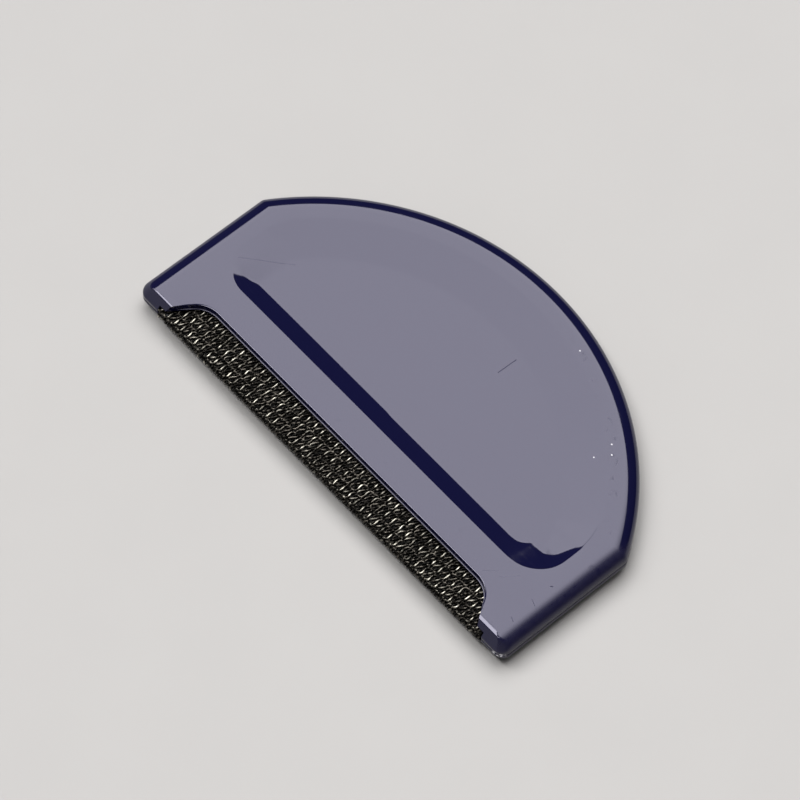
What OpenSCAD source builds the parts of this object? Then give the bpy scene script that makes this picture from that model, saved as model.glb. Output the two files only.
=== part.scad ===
// Sweater comb: two D-shaped moulded halves that hold a folded strip of knitted wire.
// It lies flat. X runs along the wire edge, Y from the wire edge to the round back, Z up.
// The origin is under the middle of the comb, on the surface that it lies on.

/* [Body] */
// Overall width, along the wire edge
body_w = 80; // [74:1:88]
// Overall depth, from the wire edge to the crown of the back
body_d = 47; // [44:0.5:54]
// Overall thickness of the two halves together
body_t = 5.2; // [4.8:0.1:6.4]
// Radius of the round back
arc_r = 46.7; // [45:0.1:60]
// Height of the rounding of the outer edges
rim_h = 2; // [1:0.1:2.2]
// How far that rounding reaches in over the face
rim_w = 3; // [1.6:0.1:3.2]
// Wall of each half
wall = 1.2; // [0.9:0.05:1.3]
// Depth of the small V where the two halves meet
seam_v = 0.12; // [0.05:0.01:0.2]

/* [Front edge] */
// Distance that the wire edge stands out from the lip of the halves
mesh_reach = 6.05; // [5:0.05:7.5]
// Distance that the horns stay behind the wire edge
horn_back = 0.45; // [0.2:0.05:0.8]
// Length of the slope on the front of a horn
horn_slope = 1.2; // [0.8:0.05:1.6]
// Height of the blunt nose of a horn
horn_nose = 1.2; // [0.8:0.1:1.8]
// Rounding of the slope's upper edge
crease_r = 0.3; // [0.1:0.05:0.5]
// Rounding of the horns' outer corners, seen from above
horn_r = 1.7; // [0.8:0.1:2.5]
// Width of the window at the lip, before its corners are rounded
window_w = 61.6; // [54:0.2:63]
// Angle by which the ends of the window open outwards
window_flare = 34; // [20:1:36]
// Rounding of the window's inner corners
window_r = 4.5; // [3:0.1:6]
// Width of the small ledge at the foot of the window's wall
ledge_w = 0.2; // [0.1:0.05:0.3]
// Height of that ledge
ledge_h = 0.2; // [0.1:0.05:0.4]

/* [Thumb recess] */
// Flat strip between the lip and the recess
strip_w = 5; // [4.4:0.1:7]
// Flat land between the recess and the outer edge at the sides and back
land_w = 4.7; // [4:0.1:6]
// Depth of the recess
recess_d = 1; // [0.6:0.05:1.1]
// Length of the gentle slope that runs out to the face at the back
side_slope = 6.4; // [4:0.1:8]
// Length of the steep wall at the front and round its corners
front_slope = 3.1; // [2:0.1:4]
// Corner rounding of the recess at the face
recess_r = 6; // [3:0.1:7]
// Corner rounding of the recess at its floor
floor_r = 2.4; // [1.5:0.1:4]

/* [Wire mesh] */
// Width of the wire strip
mesh_w = 71; // [68:0.1:71.2]
// Thickness of the knitted strip
mesh_t = 0.5; // [0.3:0.05:0.6]
// Outer radius of the fold at the wire edge
fold_r = 1.1; // [0.9:0.05:1.3]
// Length of the strip that is clamped behind the lip
tail_l = 2.6; // [1.8:0.1:2.8]
// Stitches along the strip
mesh_cols = 50; // [30:1:50]
// Rows of stitches on each face of the fold
mesh_rows = 3; // [2:1:3]
// Width of each gap, as a part of the stitch
gap_w = 0.62; // [0.4:0.02:0.7]
// Length of each gap, as a part of the row
gap_l = 0.76; // [0.5:0.02:0.84]
// Height of the loops above the sides of the gaps
loop_h = 0.16; // [0.05:0.01:0.25]

/* [Pins and ribs] */
// Diameter of the locating pins
pin_d = 1.4; // [1:0.1:1.5]
// Place of the front pins near the middle
pin_x1 = 10; // [6:0.5:14]
// Place of the front pins near the ends
pin_x2 = 28; // [20:0.5:30]
// Depth that a front pin seats in the far wall
pin_seat = 0.5; // [0.3:0.05:0.6]
// Angle of the back pins nearest the middle
pin_a1 = 14; // [8:1:20]
// Angle of the back pins nearest the sides
pin_a2 = 38; // [28:1:42]
// Distance of the back pins from the outer edge
pin_in = 5.6; // [4.8:0.1:6.5]
// Length of the back pins past the seam
pin_l = 1.2; // [0.8:0.1:1.4]
// Diameter of the bosses round the back pins
boss_d = 3; // [2.6:0.1:3.6]
// Thickness of the rib behind the core bar
rib_t = 1; // [0.8:0.1:1.4]
// Depth by which a rib or boss runs into the wall that carries it
bite = 0.2; // [0.1:0.05:0.3]
// Clearance between pieces that fit together
fit = 0.05; // [0.03:0.01:0.1]

/* [Hidden] */
$fn = 96;
navy = [0.07, 0.07, 0.24];
far = 2 * (body_w + body_d);
mid_z = body_t / 2;
roof_h = mid_z - wall;
arc_cy = body_d / 2 - arc_r;
mesh_y = -body_d / 2;
lip_y = mesh_y + mesh_reach;
horn_y = mesh_y + horn_back;
crease_y = horn_y + horn_slope;
recess_y = lip_y + strip_w;
core_top = roof_h - fit - mesh_t - fit;
fold_y = mesh_y + fold_r;
flange_y = lip_y + tail_l + fit;
flange_end = recess_y - fit;
front_pin_y = (flange_y + flange_end) / 2;
back_pin_r = arc_r - pin_in;
inner_rim = max(rim_h - 0.65 * wall, 0.2);
recess_fn = 160;

function unit(v) = v / norm(v);
function interior(a, b, c) = acos(unit(a - b) * unit(c - b));
function tangent(a, b, r, angle) = b + unit(a - b) * r / tan(angle / 2);

// Convex outline whose corners are rounded with true arcs; a radius of 0 stays sharp
module rounded(pts, radii) {
    n = len(pts);
    prev = [for (i = [0:n - 1]) pts[(i + n - 1) % n]];
    next = [for (i = [0:n - 1]) pts[(i + 1) % n]];
    angles = [for (i = [0:n - 1]) interior(prev[i], pts[i], next[i])];
    polygon([
        for (i = [0:n - 1])
            each radii[i] == 0
                ? [pts[i]]
                : [tangent(prev[i], pts[i], radii[i], angles[i]),
                   tangent(next[i], pts[i], radii[i], angles[i])]
    ]);
    for (i = [0:n - 1])
        if (radii[i] > 0) {
            inward = unit(unit(prev[i] - pts[i]) + unit(next[i] - pts[i]));
            middle = pts[i] + inward * radii[i] / sin(angles[i] / 2);
            intersection() {
                translate(middle) circle(radii[i]);
                polygon([
                    tangent(prev[i], pts[i], radii[i], angles[i]), pts[i],
                    tangent(next[i], pts[i], radii[i], angles[i]), middle
                ]);
            }
        }
}

// Small square on its corner that cuts the V of the seam
module seam_notch() {
    rotate(45) square(seam_v * sqrt(2), center = true);
}

// Half of the edge section, from the middle line out to the rounded rim. A wide arc starts
// on the face, and a tighter one carries it over to the upright side.
module edge_section(half_w, half_t, reach, drop) {
    knee_in = 0.627 * reach;
    knee_down = 0.543 * drop;
    knee = atan(knee_down / knee_in);
    face_run = reach - knee_in;
    side_run = 0.9 * (norm([knee_in, knee_down]) - face_run);
    face_r = face_run / tan(knee / 2);
    side_r = side_run / tan(45 - knee / 2);
    rounded(
        [[0, -half_t], [half_w - knee_in, -half_t], [half_w, knee_down - half_t],
         [half_w, half_t - knee_down], [half_w - knee_in, half_t], [0, half_t]],
        [0, face_r, side_r, side_r, face_r, 0]
    );
}

// Disc with a rounded rim, which gives the round back
module back_disc(r, half_t, reach, drop, notch) {
    translate([0, arc_cy, mid_z])
        rotate_extrude($fn = 360)
            difference() {
                edge_section(r, half_t, reach, drop);
                if (notch) translate([r, 0]) seam_notch();
            }
}

// Slab with rounded long edges, which gives the straight sides
module side_slab(w, half_t, reach, drop, notch) {
    translate([0, 0, mid_z])
        rotate([90, 0, 0])
            linear_extrude(far, center = true)
                difference() {
                    union() {
                        edge_section(w / 2, half_t, reach, drop);
                        mirror([1, 0]) edge_section(w / 2, half_t, reach, drop);
                    }
                    if (notch) for (s = [-1, 1]) translate([s * w / 2, 0]) seam_notch();
                }
}

// Section through the horns, extruded along X: slope, blunt nose, slope
module horn_slab() {
    nose = horn_nose / 2;
    translate([0, 0, mid_z])
        rotate([90, 0, 90])
            linear_extrude(far, center = true)
                difference() {
                    rounded(
                        [[crease_y, mid_z], [horn_y, nose], [horn_y, -nose],
                         [crease_y, -mid_z], [far, -mid_z], [far, mid_z]],
                        [crease_r, crease_r, crease_r, crease_r, 0, 0]
                    );
                    translate([horn_y, 0]) seam_notch();
                }
}

// Plan of the body with the horns' corners rounded
module horn_plan() {
    linear_extrude(body_t)
        rounded(
            [[-body_w / 2, horn_y], [body_w / 2, horn_y], [body_w / 2, far], [-body_w / 2, far]],
            [horn_r, horn_r, 0, 0]
        );
}

// Outer form of the two halves together, before the recess and the window
module outer_form() {
    intersection() {
        back_disc(arc_r, mid_z, rim_w, rim_h, true);
        side_slab(body_w, mid_z, rim_w, rim_h, true);
        horn_slab();
        horn_plan();
    }
}

// Front and sides of the recess seen from above, open towards the back
module recess_plan(draw_in, corner_r) {
    half = body_w / 2 - land_w - draw_in;
    rounded(
        [[-half, recess_y + draw_in], [half, recess_y + draw_in], [half, far], [-half, far]],
        [corner_r, corner_r, 0, 0]
    );
}

// Cone about the centre of the back arc: the long slope that runs out to the face
module recess_cone() {
    face_r = arc_r - land_w;
    rise = 2 * wall / recess_d;
    translate([0, arc_cy])
        rotate_extrude($fn = 360)
            polygon([
                [0, -2 * recess_d], [face_r - 2 * side_slope, -2 * recess_d],
                [face_r + rise * side_slope, rise * recess_d], [0, rise * recess_d]
            ]);
}

// Thumb recess: a steep front wall turns the corners and dies out along the sides,
// where the cone comes up to the face
module recess(drop) {
    sliver = 0.01;
    translate([0, 0, body_t - drop])
        intersection() {
            hull() {
                linear_extrude(wall) recess_plan(0, recess_r, $fn = recess_fn);
                translate([0, 0, -recess_d])
                    linear_extrude(sliver) recess_plan(front_slope, floor_r, $fn = recess_fn);
            }
            recess_cone();
        }
}

// Plan of the window in the front edge, drawn in on all its sides by a small amount
module window_plan(draw_in) {
    run = mesh_reach + 1;
    half = window_w / 2 - draw_in * (1 - sin(window_flare)) / cos(window_flare);
    spread = run * tan(window_flare);
    translate([0, lip_y - draw_in])
        rounded(
            [[-half, 0], [-half - spread, -run], [half + spread, -run], [half, 0]],
            [window_r - draw_in, 0, 0, window_r - draw_in]
        );
}

// Window where the wire mesh stands out, with a ledge left at the foot of its wall
module window() {
    translate([0, 0, mid_z + roof_h + ledge_h]) linear_extrude(body_t) window_plan(0);
    translate([0, 0, -1]) linear_extrude(body_t + 2) window_plan(ledge_w);
}

// Room inside the halves: the wall's inner face all round, and the underside of the recess
module cavity() {
    difference() {
        intersection() {
            back_disc(arc_r - wall, roof_h, inner_rim, inner_rim, false);
            side_slab(body_w - 2 * wall, roof_h, inner_rim, inner_rim, false);
            translate([-far / 2, lip_y + wall, 0]) cube([far, far, body_t]);
        }
        recess(wall);
    }
}

// Pocket for the folded strip, open at the window and reaching behind the horns
module mesh_pocket() {
    pocket_w = mesh_w + 2 * fit;
    translate([-pocket_w / 2, mesh_y - 1, mid_z - roof_h])
        cube([pocket_w, mesh_reach + 1 + tail_l + fit, 2 * roof_h]);
}

// Rib that backs the core bar, from the roof to the seam
module stop_rib() {
    translate([-mesh_w / 2, recess_y, mid_z])
        cube([mesh_w, rib_t, roof_h + bite]);
}

// Places of the back pins on one side of the comb; side is -1 or 1
module at_back_pins(side) {
    for (a = [pin_a1, pin_a2])
        translate([side * back_pin_r * sin(a), arc_cy + back_pin_r * cos(a), mid_z]) children();
}

// Places of the front pins on one side of the comb
module at_front_pins(side) {
    for (x = [pin_x1, pin_x2]) translate([side * x, front_pin_y, mid_z]) children();
}

// One moulded half. Both halves are the same: turned over, its pins meet the other's sockets.
module half_shell() {
    front_pin_l = roof_h + pin_seat;
    difference() {
        union() {
            difference() {
                intersection() {
                    outer_form();
                    translate([-far / 2, -far / 2, mid_z]) cube([far, far, far]);
                }
                recess(0);
                window();
                cavity();
                mesh_pocket();
            }
            stop_rib();
            at_back_pins(-1) cylinder(h = roof_h + bite, d = boss_d);
            at_back_pins(1) cylinder(h = roof_h + bite, d = boss_d);
            at_back_pins(-1) translate([0, 0, -pin_l]) cylinder(h = pin_l + roof_h, d = pin_d);
            at_front_pins(-1)
                translate([0, 0, -front_pin_l + fit]) cylinder(h = 2 * front_pin_l, d = pin_d);
        }
        at_back_pins(1) translate([0, 0, -1]) cylinder(h = pin_l + fit + 1, d = pin_d + 2 * fit);
        at_front_pins(1) cylinder(h = front_pin_l, d = pin_d + 2 * fit);
    }
}

module top_shell() {
    color(navy) half_shell();
}

module bottom_shell() {
    color(navy * 0.9) translate([0, 0, body_t]) rotate([0, 180, 0]) half_shell();
}

// Stiff bar in the fold of the wire: a rounded wedge, and a flange that the pins go through
module mesh_core() {
    nose_r = fold_r - mesh_t - fit;
    core_w = mesh_w - 4 * fit;
    flange_h = roof_h - fit;
    color([0.2, 0.2, 0.22])
        difference() {
            translate([0, 0, mid_z])
                rotate([90, 0, 90])
                    linear_extrude(core_w, center = true) {
                        rounded(
                            [[fold_y - nose_r, nose_r], [fold_y - nose_r, -nose_r],
                             [lip_y, -core_top], [lip_y, core_top]],
                            [nose_r * 0.999, nose_r * 0.999, 0, 0]
                        );
                        translate([lip_y - fit, -core_top])
                            square([flange_y - lip_y + 2 * fit, 2 * core_top]);
                        translate([flange_y, -flange_h])
                            square([flange_end - flange_y, 2 * flange_h]);
                    }
            for (side = [-1, 1])
                at_front_pins(side)
                    translate([0, 0, -mid_z]) cylinder(h = body_t, d = pin_d + 2 * fit);
        }
}

// Knitted strip. Its stations run down the top face, round the fold and back along the
// underside; each is [y, z, normal y, normal z], with z measured from the seam.
net_top = roof_h - fit;
lip_to_fold = [lip_y - fold_y, net_top];
lean = atan2(net_top, lip_y - fold_y) + acos(fold_r / norm(lip_to_fold));
fold_steps = 4;
face_end = [fold_y + fold_r * cos(lean), fold_r * sin(lean)];
tail_station = [[lip_y + tail_l, net_top, 0, 1]];
face_stations = [
    for (k = [0:mesh_rows])
        let (p = [lip_y, net_top] + (face_end - [lip_y, net_top]) * k / mesh_rows)
            [p.x, p.y, cos(lean), sin(lean)]
];
fold_stations = [
    for (k = [1:fold_steps - 1])
        let (a = lean + (360 - 2 * lean) * k / fold_steps)
            [fold_y + fold_r * cos(a), fold_r * sin(a), cos(a), sin(a)]
];
top_stations = concat(tail_station, face_stations);
under_stations = [
    for (k = [len(top_stations) - 1:-1:0])
        let (s = top_stations[k]) [s[0], -s[1], s[2], -s[3]]
];
stations = concat(top_stations, fold_stations, under_stations);
station_count = len(stations);
stitch_w = mesh_w / mesh_cols;
grid_count = station_count * (mesh_cols + 1);
// Strips that have gaps: the rows of the top face and those of the underside
gap_strips = concat(
    [for (k = [1:mesh_rows]) k],
    [for (k = [mesh_rows + fold_steps + 1:2 * mesh_rows + fold_steps]) k]
);
plain_strips = concat(
    [0],
    [for (k = [mesh_rows + 1:mesh_rows + fold_steps]) k],
    [station_count - 2]
);

// Point on the strip: u stitches from the left end, v rows past station s, some depth in
function strip_point(s, u, v, depth) =
    let (
        a = stations[s],
        b = stations[min(s + 1, station_count - 1)],
        n = v < 1 ? [a[2], a[3]] : [b[2], b[3]],
        yz = [a[0], a[1]] * (1 - v) + [b[0], b[1]] * v - n * depth
    )
    [u * stitch_w - mesh_w / 2, yz[0], mid_z + yz[1]];

// Corners of one gap, [across, along, depth]: a kite between two stitch legs
gap_corners = [
    [0.5, 0.5 - gap_l / 2, loop_h / 3],
    [0.5 + gap_w / 2, 0.42, loop_h],
    [0.5, 0.5 + gap_l / 2, loop_h / 3],
    [0.5 - gap_w / 2, 0.42, loop_h]
];

function grid_points(depth) = [
    for (s = [0:station_count - 1], c = [0:mesh_cols]) strip_point(s, c, 0, depth)
];
function gap_points() = [
    for (s = gap_strips, c = [0:mesh_cols - 1])
        each concat(
            [for (g = gap_corners) strip_point(s, c + g[0], g[1], g[2])],
            [for (g = gap_corners) strip_point(s, c + g[0], g[1], mesh_t)]
        )
];
function outer(s, c) = s * (mesh_cols + 1) + c;
function inner(s, c) = grid_count + outer(s, c);
function gap_at(row, c) = 2 * grid_count + 8 * (row * mesh_cols + c);
function quad(a, b, c, d) = [[a, b, c], [a, c, d]];

// Ring of triangles between the four corners q of a stitch and the four corners of its gap
function ring(q, g) = [
    for (k = [0:3])
        each [[q[k], q[(k + 1) % 4], g[k]], [g[k], q[(k + 1) % 4], g[(k + 1) % 4]]]
];
function flipped(faces) = [for (f = faces) [f[2], f[1], f[0]]];

function stitch_faces(s, row, c) =
    let (
        g = gap_at(row, c),
        out = [outer(s, c), outer(s, c + 1), outer(s + 1, c + 1), outer(s + 1, c)],
        back = [inner(s, c), inner(s, c + 1), inner(s + 1, c + 1), inner(s + 1, c)],
        rim = [g, g + 1, g + 2, g + 3],
        base = [g + 4, g + 5, g + 6, g + 7]
    )
    concat(
        ring(out, rim),
        flipped(ring(back, base)),
        [for (k = [0:3]) each quad(rim[k], rim[(k + 1) % 4], base[(k + 1) % 4], base[k])]
    );
function plain_faces(s, c) = concat(
    quad(outer(s, c), outer(s, c + 1), outer(s + 1, c + 1), outer(s + 1, c)),
    quad(inner(s, c), inner(s + 1, c), inner(s + 1, c + 1), inner(s, c + 1))
);
function end_faces(s) = concat(
    quad(outer(s, 0), outer(s + 1, 0), inner(s + 1, 0), inner(s, 0)),
    quad(outer(s + 1, mesh_cols), outer(s, mesh_cols), inner(s, mesh_cols), inner(s + 1, mesh_cols))
);
function tail_faces(c) =
    let (s = station_count - 1)
    concat(
        quad(outer(0, c + 1), outer(0, c), inner(0, c), inner(0, c + 1)),
        quad(outer(s, c), outer(s, c + 1), inner(s, c + 1), inner(s, c))
    );

module wire_mesh() {
    color([0.16, 0.15, 0.13])
        polyhedron(
            points = concat(grid_points(0), grid_points(mesh_t), gap_points()),
            faces = [
                for (row = [0:len(gap_strips) - 1], c = [0:mesh_cols - 1])
                    each stitch_faces(gap_strips[row], row, c),
                for (s = plain_strips, c = [0:mesh_cols - 1]) each plain_faces(s, c),
                for (s = [0:station_count - 2]) each end_faces(s),
                for (c = [0:mesh_cols - 1]) each tail_faces(c)
            ]
        );
}

top_shell();
bottom_shell();
mesh_core();
wire_mesh();
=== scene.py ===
# %% [markdown]
# # Sweater comb
# A flat, D-shaped comb of glossy navy plastic grips a folded strip of dark knitted wire.
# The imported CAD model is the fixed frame: its sizes and places are final. This lesson gives
# the comb finely rounded mouldings, real knitted loops, worn surfaces and soft light.

# %% Load the frame
import math

import bmesh
import bpy
import numpy as np
from mathutils import Matrix, Quaternion, Vector
from mathutils.geometry import tessellate_polygon


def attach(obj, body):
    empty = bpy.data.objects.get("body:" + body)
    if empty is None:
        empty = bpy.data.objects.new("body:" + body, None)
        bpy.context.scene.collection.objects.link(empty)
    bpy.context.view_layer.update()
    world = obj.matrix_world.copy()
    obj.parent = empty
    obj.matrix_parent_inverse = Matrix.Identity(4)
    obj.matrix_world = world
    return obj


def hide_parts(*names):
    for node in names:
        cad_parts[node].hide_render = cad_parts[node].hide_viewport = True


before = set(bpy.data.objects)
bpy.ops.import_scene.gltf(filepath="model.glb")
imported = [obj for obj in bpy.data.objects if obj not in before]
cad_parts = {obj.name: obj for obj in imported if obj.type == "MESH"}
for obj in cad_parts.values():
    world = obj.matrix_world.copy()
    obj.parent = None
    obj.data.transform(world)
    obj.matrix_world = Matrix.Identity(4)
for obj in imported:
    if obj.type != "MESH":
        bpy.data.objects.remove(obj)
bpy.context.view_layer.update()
scene = bpy.context.scene


# %% [markdown]
# ## Camera
# The comb was seen through a long lens, from above and a little to the right of its wire
# edge. Aiming by eye would never line up the long arc, so the camera's place, direction and
# lens come from a least-squares fit to the straight edges, the arc and the corners.

# %% Camera
PICTURE_PX = 800
FOCAL_PX = 5085.7
SENSOR_MM = 36.0
CAMERA_AT = (0.26971, -0.26341, 0.63966)
PICTURE_RIGHT = Vector((0.6599, 0.7510, 0.0229))
PICTURE_DOWN = Vector((0.6557, -0.5607, -0.5056))
camera_data = bpy.data.cameras.new("camera")
camera_data.sensor_width = SENSOR_MM
camera_data.lens = FOCAL_PX / PICTURE_PX * SENSOR_MM
camera_data.clip_start, camera_data.clip_end = 0.05, 20.0
camera = bpy.data.objects.new("camera", camera_data)
scene.collection.objects.link(camera)
scene.camera = camera
ahead = PICTURE_RIGHT.cross(PICTURE_DOWN).normalized()
right = PICTURE_RIGHT.normalized()
up = right.cross(ahead)
camera.matrix_world = Matrix.Translation(CAMERA_AT) @ Matrix(
    (right, up, -ahead)).transposed().to_4x4()
print("lens", round(camera_data.lens, 1), "mm, looking along", [round(v, 3) for v in ahead])

# %% [markdown]
# ## Small helpers for node trees
# Materials, the world and the knitting are all node trees. Wiring each node line by line
# hides the idea behind the plumbing, so a few helpers do that: plug fills one socket, add
# makes a node and fills its inputs in order, and the rest wrap the nodes that recur.


# %% Node helpers
def plug(tree, socket, value):
    """Fills a socket with a link from another node, or with a plain number or colour."""
    if isinstance(value, bpy.types.NodeSocket):
        tree.links.new(value, socket)
    elif value is not None:
        socket.default_value = value


def add(tree, kind, *values, **settings):
    """Adds a node; settings are its own options, and values go to its inputs in order."""
    node = tree.nodes.new(kind)
    for name, value in settings.items():
        setattr(node, name, value)
    for socket, value in zip(node.inputs, values):
        plug(tree, socket, value)
    return node


def calc(tree, operation, *values):
    """Arithmetic with one node."""
    return add(tree, "ShaderNodeMath", *values, operation=operation).outputs[0]


def ease(tree, x, start, end, low=0.0, high=1.0):
    """Smooth step of x, from low at start to high at end."""
    return add(tree, "ShaderNodeMapRange", x, start, end, low, high,
               interpolation_type="SMOOTHSTEP").outputs[0]


def noise(tree, place, scale, detail=2.0):
    """Soft random pattern; scale counts its features per unit of place."""
    node = add(tree, "ShaderNodeTexNoise", place)
    plug(tree, node.inputs["Scale"], scale)
    plug(tree, node.inputs["Detail"], detail)
    return node.outputs[0]


def colour_mix(tree, part, first, second):
    """Goes from the first colour to the second as part goes from 0 to 1."""
    node = add(tree, "ShaderNodeMix", part, data_type="RGBA")
    plug(tree, node.inputs[6], first)
    plug(tree, node.inputs[7], second)
    return node.outputs[2]


def new_material(name):
    """A material with its node tree and its shader."""
    material = bpy.data.materials.new(name)
    material.use_nodes = True
    return material, material.node_tree, material.node_tree.nodes["Principled BSDF"]


def object_place(tree):
    return add(tree, "ShaderNodeTexCoord").outputs["Object"]


# %% [markdown]
# ## Light
# Glossy dark plastic shows its surroundings more than its own colour. Area lamps would do,
# but where they end decides every bright and dark band on the comb, so the lamps are painted
# in the world as soft-edged rectangles in given directions. A broad one over the back
# mirrors in the flat face, a thin bright strip at the front lights the narrow front edges,
# and the rest of the room stays dim.

# %% A lamp painted in the world
world = bpy.data.worlds.new("studio")
scene.world = world
scene.view_settings.view_transform = "Standard"
world.use_nodes = True
sky = world.node_tree
sky.nodes.clear()
sky_dir = add(sky, "ShaderNodeTexCoord").outputs["Generated"]


def sky_along(direction):
    """How far the looked-at point of the sky lies along a direction."""
    return add(sky, "ShaderNodeVectorMath", sky_dir, tuple(direction),
               operation="DOT_PRODUCT").outputs["Value"]


def fade(angle, full, gone):
    """1 inside the first angle, 0 outside the second, in degrees."""
    return ease(sky, angle, math.radians(full), math.radians(gone), 1.0, 0.0)


def lamp(towards, turn, strength, limits, rounded=None):
    """Soft rectangle of light. limits: (full, gone) angles towards -X, +X, front and back.
    rounded is the same pair for the corner between -X and back."""
    middle = Vector(towards).normalized()
    side = (Vector((1, 0, 0)) - middle * middle.x).normalized()
    side = Quaternion(middle, math.radians(turn)) @ side
    back = middle.cross(side)
    ahead_of_lamp = calc(sky, "MAXIMUM", sky_along(middle), 0.001)
    level = calc(sky, "GREATER_THAN", sky_along(middle), 0.05)
    angles = []
    for axis, pairs in ((side, limits[:2]), (back, limits[2:])):
        angle = calc(sky, "ARCTANGENT", calc(sky, "DIVIDE", sky_along(axis), ahead_of_lamp))
        for sign, pair in zip((-1, 1), pairs):
            angles.append(calc(sky, "MULTIPLY", angle, sign))
            level = calc(sky, "MULTIPLY", level, fade(angles[-1], *pair))
    if rounded:
        left, behind = [calc(sky, "MAXIMUM", angles[i], 0.0) for i in (0, 3)]
        apart = calc(sky, "SQRT", calc(sky, "ADD", calc(sky, "MULTIPLY", left, left),
                                       calc(sky, "MULTIPLY", behind, behind)))
        level = calc(sky, "MULTIPLY", level, fade(apart, *rounded))
    return calc(sky, "MULTIPLY", level, strength)


# %% Two lamps and a dim room
WARM_WHITE = (1.0, 0.985, 0.97, 1)
ROOM_STRENGTH = 0.3
ROOM_ENDS, ROOM_FADE = (0.0, 0.83, 0.55), (-0.6, 0.7)
main_lamp = lamp(towards=(-0.367, 0.349, 0.8625), turn=10.0, strength=5.86,
                 limits=[(20, 25), (15, 52), (24, 32), (20, 24)], rounded=(19.0, 21.8))
strip_lamp = lamp(towards=(-0.363, -0.282, 0.889), turn=0.0, strength=14.0,
                  limits=[(22, 28), (22, 32), (3, 6), (3, 6)])
room = calc(sky, "MULTIPLY", ease(sky, sky_along(ROOM_ENDS), *ROOM_FADE, 1.0, 0.0),
            ROOM_STRENGTH)
light = calc(sky, "ADD", calc(sky, "ADD", main_lamp, strip_lamp), room)
backdrop = add(sky, "ShaderNodeBackground", WARM_WHITE, light)
add(sky, "ShaderNodeOutputWorld", backdrop.outputs[0])
print("world has", len(sky.nodes), "nodes")

# %% [markdown]
# ## Table
# A plain pale table top, so wide that no edge comes into view. It is a stage, not a part of
# the comb. One colour would do for a stage, but a faint mottle costs only a few nodes and
# keeps it from looking like flat paint.

# %% Table
TABLE_REACH = 3.0
TABLE_TONES = (0.379, 0.374, 0.373, 1), (0.394, 0.389, 0.387, 1)
table_mesh = bpy.data.meshes.new("table_top")
corners = [(-1, -1), (1, -1), (1, 1), (-1, 1)]
table_mesh.from_pydata([(x * TABLE_REACH, y * TABLE_REACH, 0) for x, y in corners], [],
                       [(0, 1, 2, 3)])
table_top = bpy.data.objects.new("table_top", table_mesh)
scene.collection.objects.link(table_top)
pale_table, pale, pale_shader = new_material("pale_table")
mottle = noise(pale, object_place(pale), 60.0, 4.0)
plug(pale, pale_shader.inputs["Base Color"], colour_mix(pale, mottle, *TABLE_TONES))
pale_shader.inputs["Roughness"].default_value = 0.85
pale_shader.inputs["Specular IOR Level"].default_value = 0.15
table_mesh.materials.append(pale_table)
print("table is", 2 * TABLE_REACH, "m wide")

# %% [markdown]
# ## Moulded half
# Each half is a shallow tray of navy plastic. The CAD solid has its true shape, but its
# edges are knife-sharp and its curves are facets, and gloss shows both at once. A Bevel
# modifier would round those facets one by one and keep their kinks. So each half is rebuilt
# from the same sizes as stacked outlines: every outline is one loop of points round the
# comb, and a profile says how far each loop is drawn in and how high it lies.

# %% Sizes of the comb, in millimetres
MM = 0.001
MID_Z = 2.6                                     # the seam
HALF_W, ARC_R, ARC_Y = 40.0, 46.7, -23.2        # half the width; the back arc
HORN_Y, LIP_Y, RECESS_Y = -23.05, -17.45, -12.45    # front edges, from the wire inwards
ROOF = 1.4                                      # roof of the wire's pocket, from the seam
POCKET_X, POCKET_Y, POCKET_R = 35.6, -12.42, 0.3    # back corner of that pocket
LIP_BEND_X, LIP_BEND_R = 28.407, 4.5            # where the lip bends towards the horn
FLARE_DEG = 34                                  # how far the window flares from there
# Rounding of the front corners and of the shoulders, seen from above, and how it shrinks
# with each millimetre that an outline is drawn in
CORNER_R, CORNER_SHRINK, CORNER_LEAST = 1.7, 0.6, 0.4
SHOULDER_R, SHOULDER_SHRINK = 1.3, 0.4
FLARE = math.radians(FLARE_DEG)
print("half is", 2 * HALF_W, "mm wide and", round(ARC_R + ARC_Y - HORN_Y, 2), "mm deep")


# %% Tools for profiles and outlines
def arc(centre, radius, start, end, count):
    """Points of an arc; angles in degrees."""
    turn = np.radians(np.linspace(start, end, count))
    return np.stack([centre[0] + radius * np.cos(turn), centre[1] + radius * np.sin(turn)], 1)


def between(a, b, count):
    """Points strictly between a and b."""
    part = np.linspace(0, 1, count + 2)[1:-1, None]
    return np.array(a) * (1 - part) + np.array(b) * part


def smooth(x):
    """Goes from 0 to 1 without a kink at either end."""
    x = np.clip(x, 0, 1)
    return x * x * (3 - 2 * x)


# %% [markdown]
# ## Profiles
# Cut across, the moulding has three rims: a broad rounding at the sides and back, steep
# slopes on the two horns, and an upright wall at the window. One profile could not serve
# all three, so each has its own, with equal numbers of steps. Each pair says how far the
# outline is drawn in and how high it lies above the seam. Where the horns meet the face,
# rubbing has worn a narrow crease, and it differs from the right to the left.

# %% Profiles: (drawn in, height above the seam)
SEAM_BREAK = [(0.12, 0.0), (0.015, 0.105), (0.0, 0.14)]
EDGE_IN, EDGE_HIGH, EDGE_FOOT = 3.0, 2.0, 0.6
rim = arc((EDGE_HIGH, EDGE_FOOT), EDGE_HIGH, 180, 90, 15) * np.array([EDGE_IN / EDGE_HIGH, 1])
SIDE_PROFILE = np.vstack([SEAM_BREAK, rim])

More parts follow.
